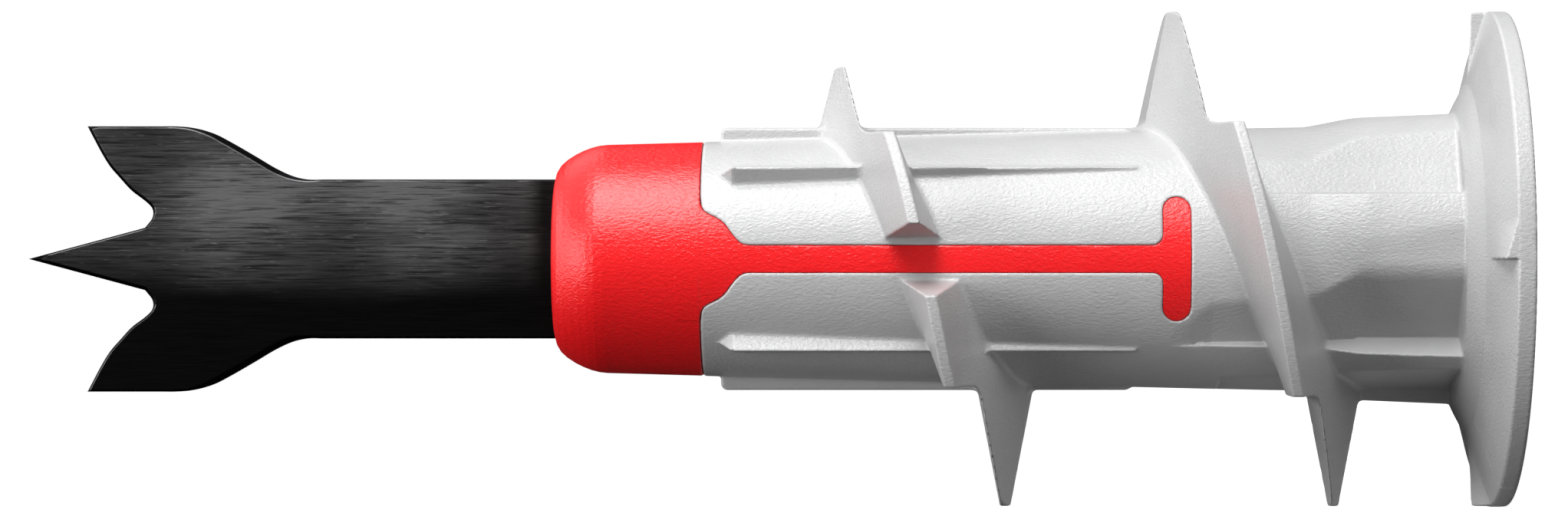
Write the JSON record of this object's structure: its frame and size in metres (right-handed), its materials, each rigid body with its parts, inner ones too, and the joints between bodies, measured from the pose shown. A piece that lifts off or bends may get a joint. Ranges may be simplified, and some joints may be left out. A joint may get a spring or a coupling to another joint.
{
  "type": "drywall anchor",
  "caption": "Self-drilling plasterboard anchor: steel drill blade in a red nose, grey threaded plastic body with coarse thread, ribs and a ratchet flange.",
  "frame": {"origin": "centre of the flange's flat outer face, which it stands on", "axes": "+Z along the anchor's axis from the flange to the drill blade's tip; the blade lies in the XZ plane; the strips of the nose run down the -Y and +Y sides"},
  "size_m": [0.0148, 0.0148, 0.044],
  "materials": {
    "grey_plastic": "fine moulded grain, satin",
    "red_plastic": "fine moulded grain, satin",
    "blackened_steel": "blackened, brushed along its length, with bare ground cutting edges"
  },
  "bodies": {
    "root": {"anchor_body": "grey_plastic", "nose_insert": "red_plastic", "drill_blade": "blackened_steel"}
  },
  "joints": []
}
